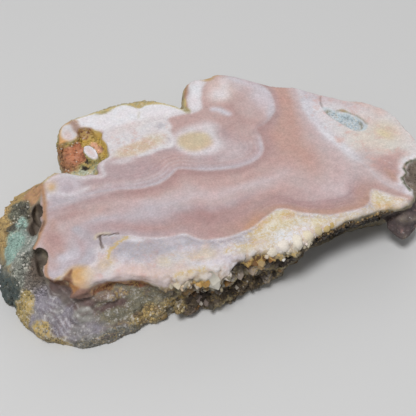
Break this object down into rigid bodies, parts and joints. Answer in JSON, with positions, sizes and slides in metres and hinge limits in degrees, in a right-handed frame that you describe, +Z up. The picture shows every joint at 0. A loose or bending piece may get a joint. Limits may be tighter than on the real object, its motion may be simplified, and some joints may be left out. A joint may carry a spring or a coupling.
{
  "type": "pink amethyst slice",
  "caption": "Thick sawn slab of banded pink amethyst with a polished top, a flat sawn base and a rough natural rind with quartz points.",
  "frame": {"origin": "middle of the slab's box, on the flat base it rests on", "axes": "+X along the slab's long direction, +Y across it towards the notched back edge, +Z up through its thickness"},
  "size_m": [0.143, 0.0876, 0.022],
  "materials": {
    "amethyst": "polished on the cut top, rough on the rind"
  },
  "bodies": {
    "root": {"amethyst_slice": "amethyst"}
  },
  "joints": []
}
